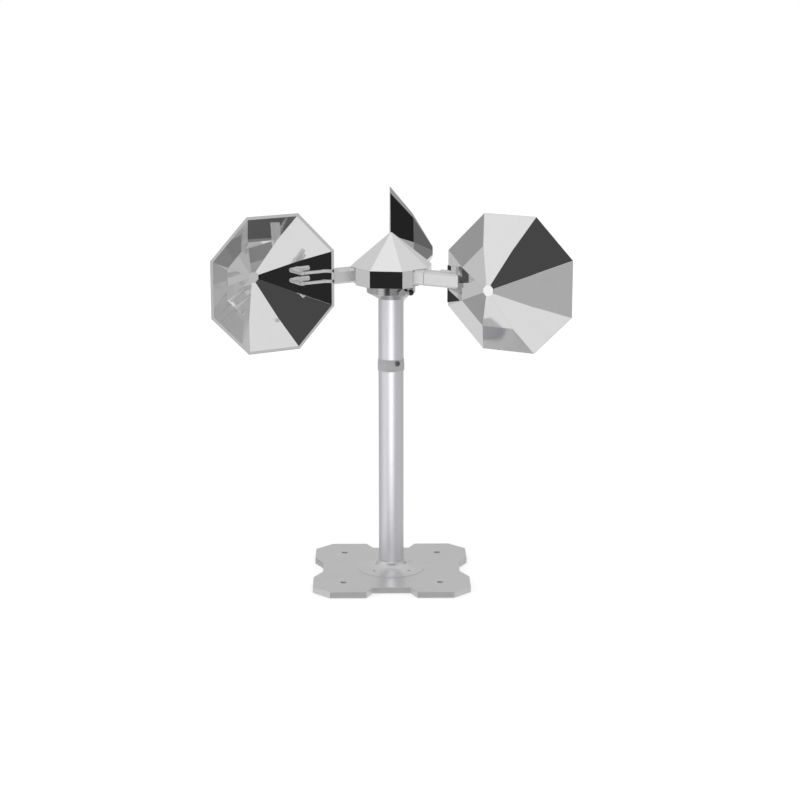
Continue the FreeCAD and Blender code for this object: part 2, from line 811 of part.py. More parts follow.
def hub_cap():
    """Thin mirrored pyramid with a skirt, and posts inside for its screws."""
    wall = dims["hub_wall"]
    outside = pyramid(dims["hub_radius"], dims["hub_skirt_low"], dims["hub_eaves"], dims["hub_peak"])
    inner_radius = dims["hub_radius"] - wall / cosine(22.5)
    inner_peak = dims["hub_peak"] - wall * ROOF_THICK
    inside = pyramid(inner_radius, dims["hub_skirt_low"] - 1, dims["hub_eaves"] - 1, inner_peak)
    posts = []
    for turn in mid_arm_turns():
        x = as_size(POST_REACH) * cosine(turn)
        y = as_size(POST_REACH) * sine(turn)
        posts.append(cylinder(POST_RADIUS, POST_LONG, x, y, hub_floor_top() + TOUCH_GAP))
    solid = fuse([cut(outside, [inside])] + posts)
    cap = common([solid, outside])
    drills = []
    for turn in mid_arm_turns():
        x = as_size(POST_REACH) * cosine(turn)
        y = as_size(POST_REACH) * sine(turn)
        drills.append(cylinder(POST_SCREW + SCREW_GAP, POST_SCREW_LONG, x, y, hub_floor_top() - 1))
    windows = [eaves_window(turn) for turn in arm_turns()]
    cap = cut(cap, drills + windows)
    place(cap, z=dims["rotor_level"])
    part(cap, "hub_cap")


def arm_turns():
    return [dims["rotor_turn"] + angle for angle in (90, 210, 330)]


def hub_floor_top():
    """Level of the hub floor's top, from the rotor's middle plane."""
    return -dims["arm_high"] / 2 + FLOOR_THICK


def hub_body():
    """Moulded hub: bearing housing, octagonal floor and three arm sockets."""
    floor_low = -dims["arm_high"] / 2
    low = lower_bearing_level() - dims["rotor_level"]
    middle = low + dims["bearing_wide"]
    high = middle + dims["bearing_gap"]
    top = high + dims["bearing_wide"]
    seat = dims["bearing_radius"]
    shell = seat + HOUSING_WALL
    foot = low - HOUSING_FOOT
    head = top + HOUSING_HEAD
    shoulder = seat - HOUSING_SHOULDER
    profile = [(seat, foot), (shell, foot), (shell, head), (seat, head), (seat, high), (shoulder, high),
               (shoulder, middle), (seat, middle)]
    housing = turned(profile)
    floor = new_body()
    turn = dims["hub_corner_turn"] + dims["rotor_turn"]
    inset = dims["hub_radius"] - (dims["hub_wall"] + FLOOR_ROOM) / cosine(22.5)
    pad(floor, polygon(floor, "XY_Plane", octagon(inset, turn), floor_low), hub_floor_top() - floor_low)
    pocket(floor, circles(floor, "XY_Plane", [(0, 0, shell - 1)], floor_low), 10, up=True)
    solids = [housing, floor]
    for turn in arm_turns():
        solids.append(spun(arm_socket(), turn))
    cuts = []
    for turn in arm_turns():
        cuts.append(spun(tongue_room(), turn))
        cuts.append(spun(fuse(arm_screw_drills(SCREW_GAP)), turn))
    for turn in mid_arm_turns():
        x = as_size(POST_REACH) * cosine(turn)
        y = as_size(POST_REACH) * sine(turn)
        cuts.append(cylinder(POST_SCREW + SCREW_GAP, 10, x, y, floor_low - 1))
    hub = cut(fuse(solids), cuts)
    place(hub, z=dims["rotor_level"])
    part(hub, "hub_body")


def arm_socket():
    """Square sleeve for an arm's tongue, with chamfered long edges."""
    body = new_body()
    start = dims["bearing_radius"] + HOUSING_WALL / 3
    outline = bar_section(dims["arm_near"], dims["arm_far"], dims["arm_high"])
    pad(body, polygon(body, "YZ_Plane", outline, start), dims["socket_end"] - start)
    return body


def bar_section(near, far, high):
    """Cross-section of an arm, looking along it: its long edges are chamfered."""
    chamfer = as_size(BAR_CHAMFER)
    half = high / 2
    left = -far
    right = -near
    flat = half - chamfer
    return [(left, -flat), (left + chamfer, -half), (right - chamfer, -half), (right, -flat), (right, flat),
            (right - chamfer, half), (left + chamfer, half), (left, flat)]


def tongue_room():
    """Space in the hub for an arm's tongue."""
    wall = dims["tongue_wall"]
    room = as_size(TONGUE_ROOM)
    half = dims["arm_high"] / 2 - wall + room
    return block(tongue_start() - 0.3, dims["socket_end"] + 1, -dims["arm_far"] + wall - room,
                 -dims["arm_near"] - wall + room, -half, half)


def tongue_start():
    return dims["bearing_radius"] + TONGUE_INSET


def arm_screw_drills(room):
    """Upright drillings for an arm's two screws, in the frame of an arm along +X."""
    drills = []
    low = -dims["arm_high"] / 2 - 1
    for spot in arm_screw_spots():
        drills.append(cylinder(ARM_SCREW + room, dims["arm_high"] - 1, spot, arm_middle(), low))
    return drills


def arm_screw_spots():
    return [as_size(spot) for spot in ARM_SCREW_SPOTS]


def arm_middle():
    return -(dims["arm_near"] + dims["arm_far"]) / 2


# ---------------------------------------------------------------- arms and cups


def facet_run():
    """How far the cup's hub-side facet runs inwards along the arm for each millimetre of depth."""
    return (dims["cup_radius"] - dims["cup_step_radius"]) * cosine(22.5) / dims["cup_step_depth"]


def facet_reach(depth):
    """Distance from the rotor's axis to the cup's hub-side facet at a depth below the rim."""
    rim = dims["cup_reach"] - dims["cup_radius"] * cosine(22.5)
    return rim + facet_run() * depth


def facet_slope():
    """Length along the facet for each millimetre of depth."""
    return Size(math.hypot(facet_run().value, 1), f"sqrt({facet_run().text}^2 + 1)")


def arm(number, turn):
    """Arm along +X: a tongue in the hub, a chamfered bar, and two tines that reach into the cup."""
    near = dims["arm_near"]
    far = dims["arm_far"]
    start = dims["socket_end"] + dims["seam"]
    back_off = as_size(SEAT_GAP) * facet_slope()
    bar = new_body()
    pad(bar, polygon(bar, "YZ_Plane", bar_section(near, far, dims["arm_high"]), start), dims["cup_radius"])
    mitre = new_body()
    deep = far + 1
    outline = [(0, 0), (facet_reach(0) - back_off, 0), (facet_reach(deep) - back_off, -deep), (0, -deep)]
    pad(mitre, polygon(mitre, "XY_Plane", outline), dims["arm_high"] + 2, both_ways=True)
    wall = dims["tongue_wall"]
    half = dims["arm_high"] / 2 - wall
    tongue = block(tongue_start(), start + 1, -far + wall, -near - wall, -half, half)
    pieces = [common([bar, mitre]), tongue]
    holes = arm_screw_drills(SCREW_GAP)
    for level in tine_levels():
        half_high = dims["tine_high"] / 2
        depth = near + dims["tine_thick"]
        pieces.append(block(facet_reach(0) - TINE_ROOT, dims["tine_reach"], -depth, -near, level - half_high,
                            level + half_high))
        reach = dims["tine_reach"]
        pieces.append(cylinder(dims["tine_eye"], dims["tine_thick"], reach, -near, level, (1, 0, 0), 90))
        holes.append(cylinder(CUP_SCREW + SCREW_GAP, depth, reach, 0, level, (1, 0, 0), 90))
    shape = cut(fuse(pieces), holes)
    place(shape, z=dims["rotor_level"], turn=turn)
    part(shape, f"arm_{number}")


CUP_SCREW = 0.9
CUP_SCREW_LONG = 12.0
CUP_SCREW_HEAD = 1.7
CUP_SCREW_HEAD_HIGH = 1.1
CUP_POST = 2.3
TINE_ROOM = 0.3           # round a tine in its slot in the cup
TINE_ROOT = 6.0           # how far a tine starts inside the arm's end


def tine_levels():
    """Heights of an arm's two tines above the rotor's middle plane."""
    return [dims["tine_rise"] - dims["tine_spread"], dims["tine_rise"] + dims["tine_spread"]]


def cup_form(rise):
    """Solid two-stage octagonal pyramid whose rim lies rise above the cup's rim plane."""
    body = new_body()
    stages = []
    for radius, depth in ((dims["cup_radius"], as_size(0)), (dims["cup_step_radius"], dims["cup_step_depth"]),
                          (dims["cup_tip_radius"], dims["cup_tip_depth"])):
        corners = []
        for x, z in octagon(radius, 22.5):
            corners.append((dims["cup_reach"] + x, z))
        stages.append(polygon(body, "XZ_Plane", corners, depth - rise))
    loft = body.newObject("PartDesign::AdditiveLoft", "Loft")
    loft.Profile = stages[0]
    loft.Sections = stages[1:]
    loft.Ruled = True
    return body


def cup(number, turn):
    """Thin faceted cup on an arm along +X, with two screw posts and slots for the arm's tines."""
    outside = cup_form(as_size(0))
    inside = cup_form(dims["cup_rise"])
    reach = dims["tine_reach"]
    seat = dims["arm_near"] + dims["tine_thick"]
    posts = []
    tools = []
    for level in tine_levels():
        posts.append(cylinder(CUP_POST, dims["cup_tip_depth"], reach, -seat - SEAT_GAP, level, (1, 0, 0), 90))
        tools.append(cylinder(CUP_SCREW + SCREW_GAP, CUP_SCREW_LONG, reach, -seat + 1, level, (1, 0, 0), 90))
        half = dims["tine_high"] / 2 + TINE_ROOM
        tools.append(block(facet_reach(0) - 3, facet_reach(seat) + 4, -seat - TINE_ROOM, 1, level - half,
                           level + half))
    shell = cut(outside, [inside])
    shape = cut(common([fuse([shell] + posts), outside]), tools)
    place(shape, z=dims["rotor_level"], turn=turn)
    part(shape, f"cup_{number}")


PAD_EDGE = 0.3            # from the cup's rim to the pad
PAD_STRIP_END = 1.7
PAD_STRIP_TOP = 8.3
PAD_TAB_END = 8.0
PAD_TAB_TOP = 12.6
PAD_FLAP_TOP = -11.5
PAD_FLAP_LOW = -24.0
PAD_FLAP_TIP = 30.0
PAD_FLAP_TIP_HIGH = -16.2
PAD_FLAP_TIP_LOW = -17.4


def cup_pad(number, turn):
    """Rubber clip on the back of the cup's hub-side facet, behind the arm's end.

    A tab stands above the arm and a pointed flap hangs below it. In its own frame X runs along the facet
    from the cup's rim and Y runs up.
    """
    body = new_body()
    outline = [(PAD_EDGE, PAD_FLAP_LOW), (PAD_FLAP_TIP, PAD_FLAP_TIP_LOW), (PAD_FLAP_TIP, PAD_FLAP_TIP_HIGH),
               (PAD_STRIP_END, PAD_FLAP_TOP), (PAD_STRIP_END, PAD_STRIP_TOP), (PAD_TAB_END, PAD_STRIP_TOP),
               (PAD_TAB_END, PAD_TAB_TOP), (PAD_EDGE, PAD_TAB_TOP)]
    pad(body, polygon(body, "XY_Plane", outline), dims["pad_thick"])
    slope = facet_slope().value
    along = Vector(facet_run().value / slope, -1 / slope, 0)
    lift = Vector(0, 0, 1)
    outwards = along.cross(lift)
    rim = Vector(facet_reach(0).value, 0, 0)
    rotation = Rotation(along, lift, outwards, "XYZ")
    body.Placement = Placement(rim + outwards * TOUCH_GAP, rotation)
    holder = spun(body, turn)
    place(holder, z=dims["rotor_level"], turn=turn)
    part(holder, f"cup_pad_{number}")


def rotor_screws():
    """Screws of the rotor: two for each arm, two for each cup and one for each post of the hub cap."""
    arm_set = []
    cup_set = []
    for turn in arm_turns():
        for spot in arm_screw_spots():
            screw = pan_screw(ARM_SCREW, dims["arm_high"] - dims["tongue_wall"], ARM_SCREW_HEAD,
                              ARM_SCREW_HEAD_HIGH)
            place(screw, spot, arm_middle(), -dims["arm_high"] / 2 - TOUCH_GAP)
            arm_set.append(spun(screw, turn))
        for level in tine_levels():
            screw = pan_screw(CUP_SCREW, CUP_SCREW_LONG - 0.5, CUP_SCREW_HEAD, CUP_SCREW_HEAD_HIGH)
            place(screw, dims["tine_reach"], -dims["arm_near"] + TOUCH_GAP, level, (1, 0, 0), 90)
            cup_set.append(spun(screw, turn))
    cap_set = []
    for turn in mid_arm_turns():
        screw = pan_screw(POST_SCREW, POST_SCREW_LONG, POST_SCREW_HEAD, POST_SCREW_HEAD_HIGH)
        place(screw, as_size(POST_REACH) * cosine(turn), as_size(POST_REACH) * sine(turn),
              -dims["arm_high"] / 2 - TOUCH_GAP)
        cap_set.append(screw)
    for items, label in ((arm_set, "arm_screws"), (cup_set, "cup_screws"), (cap_set, "hub_cap_screws")):
        place(group(items, label), z=dims["rotor_level"])


# ---------------------------------------------------------------- build and export


def build():
    base_plate()
    base_socket()
    base_fasteners()
    pole()
    joint_screw()
    pole_cap()
    lock_lever()
    spindle_stack()
    bearing("lower_bearing", lower_bearing_level())
    bearing("upper_bearing", upper_bearing_level())
    hub_body()
    hub_cap()
    for number, turn in enumerate(arm_turns(), start=1):
        arm(number, turn)
        cup(number, turn)
        cup_pad(number, turn)
    rotor_screws()


def check_and_export():
    """Stop on any failed object or bad shape, then write one STEP file for each sub-part."""
    doc.recompute()
    for item in doc.Objects:
        if "Invalid" in item.State or "Error" in item.State:
            raise RuntimeError(f"{item.Name} ({item.Label}) failed: {item.State}")
    for item in parts:
        if item.Shape.isNull() or not item.Shape.isValid():
            raise RuntimeError(f"{item.Label} has no valid shape")
    os.makedirs("parts", exist_ok=True)
    for item in parts:
        item.Shape.exportStep(os.path.join("parts", f"{item.Label}.step"))
        print(f"{item.Label}: {len(item.Shape.Solids)} solid(s), {item.Shape.Volume:.1f} mm3")


build()
check_and_export()
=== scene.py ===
import json
import math

import bpy
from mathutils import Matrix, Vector

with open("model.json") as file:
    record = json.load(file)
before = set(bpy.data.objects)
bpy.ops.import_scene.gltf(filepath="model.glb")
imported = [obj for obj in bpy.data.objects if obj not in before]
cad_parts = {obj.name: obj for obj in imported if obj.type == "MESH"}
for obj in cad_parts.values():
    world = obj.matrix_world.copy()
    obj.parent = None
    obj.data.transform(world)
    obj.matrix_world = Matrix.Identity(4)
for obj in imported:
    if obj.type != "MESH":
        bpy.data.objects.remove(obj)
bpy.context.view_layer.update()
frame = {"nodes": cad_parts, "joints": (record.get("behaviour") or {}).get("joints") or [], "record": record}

# Studio picture of a wind-driven bird scarer: mirror-faceted cups on a rotor over a pole and a base plate.
# Lengths are metres in the part's own frame, +Z up along the pole, and the camera looks along +Y.

NODES = frame["nodes"]
JOINT_PLACES = {joint["name"]: Vector(joint["pos_m"]) for joint in frame["joints"]}
ROTOR_CENTRE = JOINT_PLACES["rotor_spin"]


# ---------------------------------------------------------------- node helpers


def add_node(tree, kind, inputs=None, **settings):
    """Adds a node; each input is a value or another node's output socket."""
    node = tree.nodes.new(kind)
    for name, value in settings.items():
        setattr(node, name, value)
    for name, value in (inputs or {}).items():
        socket = node.inputs[name]
        if isinstance(value, bpy.types.NodeSocket):
            tree.links.new(value, socket)
        else:
            socket.default_value = value
    return node


def maths(tree, operation, first, second=0.0, third=0.0, clamp=False):
    inputs = {0: first, 1: second, 2: third}
    node = add_node(tree, "ShaderNodeMath", inputs, operation=operation, use_clamp=clamp)
    return node.outputs[0]


def blend_values(tree, share, low, high):
    """low where share is 0 and high where it is 1."""
    node = add_node(tree, "ShaderNodeMix", data_type="FLOAT")
    for index, value in ((0, share), (2, low), (3, high)):
        plug(tree, value, node.inputs[index])
    return node.outputs[0]


def blend_colours(tree, share, low, high, mode="MIX"):
    node = add_node(tree, "ShaderNodeMix", data_type="RGBA", blend_type=mode)
    for index, value in ((0, share), (6, low), (7, high)):
        plug(tree, value, node.inputs[index])
    return node.outputs[2]


def plug(tree, value, socket):
    if isinstance(value, bpy.types.NodeSocket):
        tree.links.new(value, socket)
    else:
        socket.default_value = value


def grey(level, tint=(1.0, 1.0, 1.0)):
    return (level * tint[0], level * tint[1], level * tint[2], 1.0)


def smooth_range(tree, value, low, high):
    """0 below low, 1 above high and a smooth change between them."""
    inputs = {"Value": value, "From Min": low, "From Max": high}
    node = add_node(tree, "ShaderNodeMapRange", inputs, interpolation_type="SMOOTHSTEP")
    return node.outputs["Result"]


def place_in_part(tree, stretch=(1.0, 1.0, 1.0), shift=(0.0, 0.0, 0.0)):
    """The shaded point in the part's own frame, in metres, stretched for long grain."""
    point = add_node(tree, "ShaderNodeTexCoord").outputs["Object"]
    inputs = {"Vector": point, "Scale": stretch, "Location": shift}
    return add_node(tree, "ShaderNodeMapping", inputs).outputs["Vector"]


def noise(tree, size, detail=3.0, roughness=0.5, stretch=(1.0, 1.0, 1.0), shift=(0.0, 0.0, 0.0)):
    """Noise whose blotches are about size metres across."""
    inputs = {"Vector": place_in_part(tree, stretch, shift), "Scale": 1.0 / size,
              "Detail": detail, "Roughness": roughness}
    return add_node(tree, "ShaderNodeTexNoise", inputs).outputs["Fac"]


def bump(tree, height, depth, base=None):
    """Normal of a relief whose height runs from 0 to 1 over depth metres."""
    node = add_node(tree, "ShaderNodeBump", {"Height": height, "Distance": depth, "Strength": 1.0})
    if base is not None:
        tree.links.new(base, node.inputs["Normal"])
    return node.outputs["Normal"]


def edge_mask(tree, radius):
    """1 on outer and inner edges that are sharper than radius metres, 0 on flat faces."""
    rounded = add_node(tree, "ShaderNodeBevel", {"Radius": radius}, samples=6).outputs["Normal"]
    flat = add_node(tree, "ShaderNodeNewGeometry").outputs["Normal"]
    inputs = {0: rounded, 1: flat}
    likeness = add_node(tree, "ShaderNodeVectorMath", inputs, operation="DOT_PRODUCT").outputs["Value"]
    return smooth_range(tree, likeness, 0.999, 0.97)


def new_material(name):
    """An empty material, its tree and its output's surface socket."""
    material = bpy.data.materials.new(name)
    material.use_nodes = True
    tree = material.node_tree
    tree.nodes.clear()
    output = add_node(tree, "ShaderNodeOutputMaterial")
    return material, tree, output.inputs["Surface"]


def surface(tree, socket, **inputs):
    """A Principled shader on the output; underscores in names stand for spaces."""
    named = {name.replace("_", " "): value for name, value in inputs.items()}
    shader = add_node(tree, "ShaderNodeBsdfPrincipled", named)
    tree.links.new(shader.outputs["BSDF"], socket)
    return shader


# ---------------------------------------------------------------- materials


SECOND_BOUNCE_ROUGHNESS = 0.20


def mirror_plating():
    """Vacuum-metallised plastic: a near mirror with faint waves, smudges, hairlines and dull edges.

    What one facet mirrors of another is blurred, as the film's orange peel does over two bounces.
    """
    material, tree, socket = new_material("mirror_plating")
    waves = noise(tree, 0.035, detail=1.0)
    smudges = smooth_range(tree, noise(tree, 0.018, detail=4.0, shift=(0.3, 0.1, 0.7)), 0.5, 0.8)
    hairlines = noise(tree, 0.0012, detail=2.0, stretch=(1.0, 0.06, 0.25))
    hairlines = smooth_range(tree, hairlines, 0.62, 0.72)
    edges = edge_mask(tree, 0.0006)
    colour = blend_colours(tree, smudges, grey(0.885), grey(0.865))
    colour = blend_colours(tree, edges, colour, grey(0.55))
    roughness = blend_values(tree, smudges, 0.04, 0.065)
    roughness = maths(tree, "ADD", roughness, maths(tree, "MULTIPLY", hairlines, 0.02))
    roughness = blend_values(tree, edges, roughness, 0.3)
    is_second_bounce = add_node(tree, "ShaderNodeLightPath").outputs["Is Glossy Ray"]
    roughness = blend_values(tree, is_second_bounce, roughness, SECOND_BOUNCE_ROUGHNESS)
    relief = bump(tree, waves, 0.00006)
    relief = bump(tree, hairlines, 0.000001, relief)
    surface(tree, socket, Base_Color=colour, Metallic=1.0, Roughness=roughness, Normal=relief)
    return material


def satin_silver_plastic():
    """Silver-pigmented moulded plastic with a fine flow grain."""
    material, tree, socket = new_material("satin_silver_plastic")
    flow = noise(tree, 0.012, detail=3.0, stretch=(1.0, 1.0, 2.0))
    grain = noise(tree, 0.0006, detail=2.0)
    edges = edge_mask(tree, 0.0005)
    colour = blend_colours(tree, flow, grey(0.76), grey(0.84))
    colour = blend_colours(tree, edges, colour, grey(0.88))
    roughness = blend_values(tree, flow, 0.30, 0.42)
    relief = bump(tree, grain, 0.00002)
    surface(tree, socket, Base_Color=colour, Metallic=0.55, Roughness=roughness, Normal=relief)
    return material


def drawn_aluminium():
    """Satin tube with fine draw lines along the pole and a faint lilac cast."""
    material, tree, socket = new_material("drawn_aluminium")
    lines = noise(tree, 0.0009, detail=3.0, stretch=(1.0, 1.0, 0.01))
    cloud = noise(tree, 0.02, detail=2.0, stretch=(1.0, 1.0, 0.4))
    edges = edge_mask(tree, 0.0004)
    tint = (0.985, 0.98, 1.02)
    colour = blend_colours(tree, lines, grey(0.68, tint), grey(0.76, tint))
    colour = blend_colours(tree, edges, colour, grey(0.85, tint))
    roughness = blend_values(tree, cloud, 0.40, 0.46)
    relief = bump(tree, lines, 0.00002)
    surface(tree, socket, Base_Color=colour, Metallic=0.9, Roughness=roughness, Normal=relief)
    return material


def grey_sleeve():
    """Satin grey moulding round the pole's joint, its edges painted lighter as a highlight."""
    material, tree, socket = new_material("grey_sleeve")
    cloud = noise(tree, 0.01, detail=3.0)
    grain = noise(tree, 0.0006, detail=2.0)
    edges = edge_mask(tree, 0.0004)
    colour = blend_colours(tree, cloud, grey(0.46, (1.0, 0.99, 1.02)), grey(0.52, (1.0, 0.99, 1.02)))
    # Painted highlight: edges much lighter, standing for the lip's chamfer catching the light.
    colour = blend_colours(tree, edges, colour, grey(0.75))
    roughness = blend_values(tree, cloud, 0.38, 0.5)
    relief = bump(tree, grain, 0.00002)
    surface(tree, socket, Base_Color=colour, Roughness=roughness, Normal=relief)
    return material


def polished_aluminium():
    """Turned cap and lever in aluminium darkened to a mid grey as painted shade for the black hub skirt it
    reflects, with faint turning rings.
    """
    material, tree, socket = new_material("polished_aluminium")
    rings = noise(tree, 0.0005, detail=2.0, stretch=(0.02, 0.02, 1.0))
    haze = noise(tree, 0.01, detail=3.0)
    edges = edge_mask(tree, 0.0004)
    # The mid grey is painted shade standing for the black skirt the cap reflects; the haze varies it at random.
    colour = blend_colours(tree, haze, grey(0.46), grey(0.54))
    colour = blend_colours(tree, edges, colour, grey(0.70))
    roughness = blend_values(tree, haze, 0.20, 0.30)
    relief = bump(tree, rings, 0.000008)
    surface(tree, socket, Base_Color=colour, Metallic=1.0, Roughness=roughness, Normal=relief)
    return material


def coated_plate():
    """Satin grey coating on the base plate, fine-grained, with worn edges."""
    material, tree, socket = new_material("coated_plate")
    mottle = noise(tree, 0.02, detail=4.0)
    grain = noise(tree, 0.0008, detail=2.0)
    edges = edge_mask(tree, 0.0006)
    worn = maths(tree, "MULTIPLY", edges, smooth_range(tree, mottle, 0.45, 0.6))
    colour = blend_colours(tree, mottle, grey(0.72), grey(0.78))
    colour = blend_colours(tree, worn, colour, grey(0.84))
    roughness = blend_values(tree, mottle, 0.26, 0.32)
    relief = bump(tree, grain, 0.00002)
    surface(tree, socket, Base_Color=colour, Metallic=0.75, Roughness=roughness, Normal=relief)
    return material


def cast_socket():
    """Satin die-cast socket with a faint sand-like skin."""
    material, tree, socket = new_material("cast_socket")
    skin = noise(tree, 0.0015, detail=3.0)
    cloud = noise(tree, 0.015, detail=3.0)
    edges = edge_mask(tree, 0.0005)
    colour = blend_colours(tree, cloud, grey(0.74), grey(0.80))
    colour = blend_colours(tree, edges, colour, grey(0.82))
    roughness = blend_values(tree, skin, 0.28, 0.36)
    relief = bump(tree, skin, 0.00002)
    surface(tree, socket, Base_Color=colour, Metallic=0.7, Roughness=roughness, Normal=relief)
    return material


def black_plastic():
    material, tree, socket = new_material("black_plastic")
    grain = noise(tree, 0.0007, detail=2.0)
    dust = smooth_range(tree, noise(tree, 0.003, detail=5.0), 0.55, 0.8)
    colour = blend_colours(tree, dust, grey(0.012), grey(0.04))
    roughness = blend_values(tree, grain, 0.22, 0.4)
    relief = bump(tree, grain, 0.00002)
    surface(tree, socket, Base_Color=colour, Roughness=roughness, Normal=relief)
    return material


def black_rubber():
    material, tree, socket = new_material("black_rubber")
    grain = noise(tree, 0.0009, detail=4.0)
    bloom = smooth_range(tree, noise(tree, 0.006, detail=3.0), 0.5, 0.8)
    colour = blend_colours(tree, bloom, grey(0.010), grey(0.028))
    roughness = blend_values(tree, grain, 0.55, 0.75)
    relief = bump(tree, grain, 0.00008)
    surface(tree, socket, Base_Color=colour, Roughness=roughness, Normal=relief)
    return material


def steel(name, level, tint, roughness_low, roughness_high):
    """Machined or plated steel with fine turning marks and brighter edges."""
    material, tree, socket = new_material(name)
    marks = noise(tree, 0.0006, detail=3.0, stretch=(0.3, 0.3, 1.0))
    stain = noise(tree, 0.004, detail=4.0)
    edges = edge_mask(tree, 0.0003)
    colour = blend_colours(tree, stain, grey(level * 0.88, tint), grey(level, tint))
    colour = blend_colours(tree, edges, colour, grey(min(level * 1.25, 0.95), tint))
    roughness = blend_values(tree, marks, roughness_low, roughness_high)
    relief = bump(tree, marks, 0.00001)
    surface(tree, socket, Base_Color=colour, Metallic=1.0, Roughness=roughness, Normal=relief)
    return material


def materials_by_slot():
    neutral = (1.0, 1.0, 1.0)
    return {
        "mirror_plated_shell": mirror_plating(),
        "satin_silver_plastic": satin_silver_plastic(),
        "aluminium_tube": drawn_aluminium(),
        "grey_moulded_sleeve": grey_sleeve(),
        "polished_aluminium": polished_aluminium(),
        "grey_painted_steel": coated_plate(),
        "grey_cast_socket": cast_socket(),
        "black_plastic": black_plastic(),
        "black_rubber": black_rubber(),
        "dark_screw": steel("blackened_steel", 0.20, neutral, 0.3, 0.45),
        "zinc_steel": steel("zinc_steel", 0.70, (0.98, 1.0, 1.02), 0.2, 0.35),
        "brass_cage": steel("brass_cage", 0.75, (1.0, 0.82, 0.47), 0.2, 0.35),
        "steel": steel("bearing_steel", 0.62, neutral, 0.1, 0.2),
    }


# ---------------------------------------------------------------- CAD nodes


CURVE_ANGLE = math.radians(28)
FACET_ANGLE = math.radians(3)
FACETED_SLOT = "mirror_plated_shell"
UNMIRRORED_SLOTS = ("black_rubber", "satin_silver_plastic", "zinc_steel")
EDGE_ROUNDING = {
    "base_plate": 0.0005,
    "base_socket": 0.0003,
    "pole_sleeve": 0.0003,
    "pole_cap": 0.0003,
    "lock_lever": 0.0003,
    "hub_body": 0.0004,
    "hub_cap": 0.0003,
    "arm_1": 0.0004,
    "arm_2": 0.0004,
    "arm_3": 0.0004,
    "cup_1": 0.00025,
    "cup_2": 0.00025,
    "cup_3": 0.00025,
    "cup_pad_1": 0.0003,
    "cup_pad_2": 0.0003,
    "cup_pad_3": 0.0003,
}


def smooth_by_angle(name, limit):
    """Geometry nodes that shade faces smooth and keep edges over the limit sharp."""
    group = bpy.data.node_groups.new(name, "GeometryNodeTree")
    group.interface.new_socket("Geometry", in_out="INPUT", socket_type="NodeSocketGeometry")
    group.interface.new_socket("Geometry", in_out="OUTPUT", socket_type="NodeSocketGeometry")
    shape = add_node(group, "NodeGroupInput").outputs[0]
    smooth = add_node(group, "GeometryNodeSetShadeSmooth", {"Geometry": shape}, domain="FACE")
    angle = add_node(group, "GeometryNodeInputMeshEdgeAngle").outputs["Unsigned Angle"]
    is_sharp = maths(group, "GREATER_THAN", angle, limit)
    inputs = {"Geometry": smooth.outputs[0], "Selection": is_sharp, "Shade Smooth": False}
    sharp = add_node(group, "GeometryNodeSetShadeSmooth", inputs, domain="EDGE")
    output = add_node(group, "NodeGroupOutput")
    group.links.new(sharp.outputs[0], output.inputs[0])
    return group


def dress_node(node, material, shading):
    """Gives a CAD node its material, rounded edges and even shading; its vertices and faces stay as imported.
    """
    mesh = node.data
    mesh.materials.clear()
    mesh.materials.append(material)
    mesh.polygons.foreach_set("material_index", [0] * len(mesh.polygons))
    if mesh.has_custom_normals:
        mesh.attributes.remove(mesh.attributes["custom_normal"])
    weld = node.modifiers.new("weld", "WELD")
    weld.merge_threshold = 1e-6
    if node.name in EDGE_ROUNDING:
        flatten = node.modifiers.new("flatten", "DECIMATE")
        flatten.decimate_type = "DISSOLVE"
        flatten.angle_limit = math.radians(0.5)
        bevel = node.modifiers.new("rounding", "BEVEL")
        bevel.width = EDGE_ROUNDING[node.name]
        bevel.segments = 2
        bevel.limit_method = "ANGLE"
        bevel.angle_limit = CURVE_ANGLE
        bevel.use_clamp_overlap = True
    node.modifiers.new("shading", "NODES").node_group = shading
    if node.name in EDGE_ROUNDING:
        flat_faces = node.modifiers.new("flat_faces", "WEIGHTED_NORMAL")
        flat_faces.keep_sharp = True
        flat_faces.weight = 100


def dress_nodes():
    """Dresses every carried-over piece; the facets don't mirror pads, arms and screws."""
    materials = materials_by_slot()
    curves = smooth_by_angle("smooth_curves", CURVE_ANGLE)
    facets = smooth_by_angle("flat_facets", FACET_ANGLE)
    for subpart in frame["record"]["subparts"]:
        slot = subpart["material_slot"]
        shading = facets if slot == FACETED_SLOT else curves
        dress_node(NODES[subpart["node"]], materials[slot], shading)
        if slot in UNMIRRORED_SLOTS:
            NODES[subpart["node"]].visible_glossy = False


# ---------------------------------------------------------------- studio


def add_floor():
    """A broad pale floor, lit like a white sweep: only contact shadows show on it."""
    half = 12.0
    mesh = bpy.data.meshes.new("floor")
    corners = [(-half, -half, 0), (half, -half, 0), (half, half, 0), (-half, half, 0)]
    mesh.from_pydata(corners, [], [(0, 1, 2, 3)])
    floor = bpy.data.objects.new("floor", mesh)
    bpy.context.scene.collection.objects.link(floor)
    material, tree, socket = new_material("floor")
    cloud = noise(tree, 0.5, detail=2.0)
    colour = blend_colours(tree, cloud, grey(0.90), grey(0.92))
    glow = grey(1.0)
    surface(tree, socket, Base_Color=colour, Roughness=0.6, Emission_Color=glow, Emission_Strength=0.45)
    mesh.materials.append(material)
    floor.visible_glossy = False


